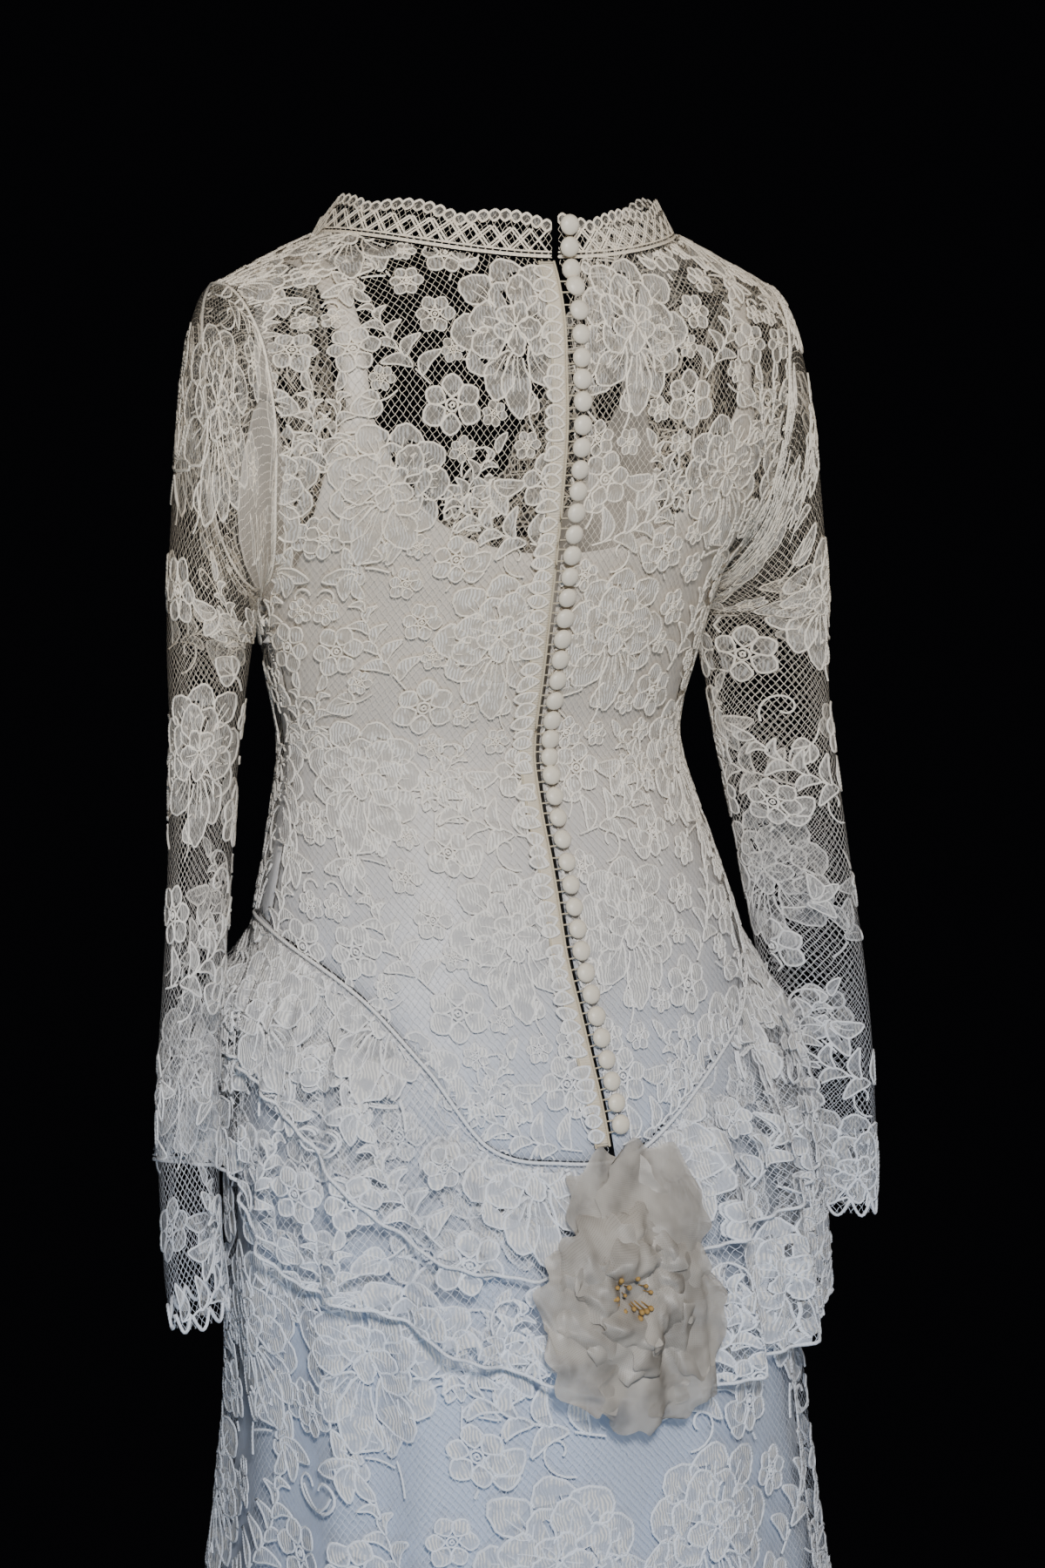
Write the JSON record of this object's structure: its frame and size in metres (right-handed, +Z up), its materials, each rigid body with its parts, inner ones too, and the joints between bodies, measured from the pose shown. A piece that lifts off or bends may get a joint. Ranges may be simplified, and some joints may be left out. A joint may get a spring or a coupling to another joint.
{
  "type": "wedding dress",
  "caption": "Long-sleeved lace wedding dress over a satin lining, filled out as worn, with a buttoned back, a low-waisted peplum and an A-line skirt.",
  "frame": {"origin": "midway between the wearer's shoulders at the height of the collar seam, where the wearer holds the dress", "axes": "+Z up, +Y behind the wearer, +X to the wearer's left"},
  "size_m": [0.6439, 0.6808, 1.4675],
  "materials": {
    "lace": "corded ivory lace on a fine open net",
    "satin": "cream satin lining with a soft sheen",
    "tape": "ecru woven tape with thread loops",
    "button_satin": "satin-covered buttons",
    "organza": "grey-beige crumpled organza"
  },
  "bodies": {
    "root": {"lining_front": "satin", "lining_back_left": "satin", "lining_back_right": "satin", "strap_left": "satin", "strap_right": "satin", "lace_front": "lace", "lace_back_left": "lace", "lace_back_right": "lace", "sleeve_left": "lace", "sleeve_right": "lace", "collar": "lace", "loop_placket": "tape", "skirt_lining": "satin", "skirt_lace": "lace", "peplum_lower": "lace", "peplum_upper": "lace", "flower": "organza", "button_01": "button_satin", "button_02": "button_satin", "button_03": "button_satin", "button_04": "button_satin", "button_05": "button_satin", "button_06": "button_satin", "button_07": "button_satin", "button_08": "button_satin", "button_09": "button_satin", "button_10": "button_satin", "button_11": "button_satin", "button_12": "button_satin", "button_13": "button_satin", "button_14": "button_satin", "button_15": "button_satin", "button_16": "button_satin", "button_17": "button_satin", "button_18": "button_satin", "button_19": "button_satin", "button_20": "button_satin", "button_21": "button_satin", "button_22": "button_satin", "button_23": "button_satin", "button_24": "button_satin", "button_25": "button_satin", "button_26": "button_satin", "button_27": "button_satin", "button_28": "button_satin", "button_29": "button_satin", "button_30": "button_satin", "button_31": "button_satin", "button_32": "button_satin", "button_33": "button_satin", "button_34": "button_satin", "button_35": "button_satin", "button_36": "button_satin", "button_37": "button_satin", "button_38": "button_satin", "button_39": "button_satin", "button_40": "button_satin", "button_41": "button_satin", "button_42": "button_satin", "button_43": "button_satin"}
  },
  "joints": []
}
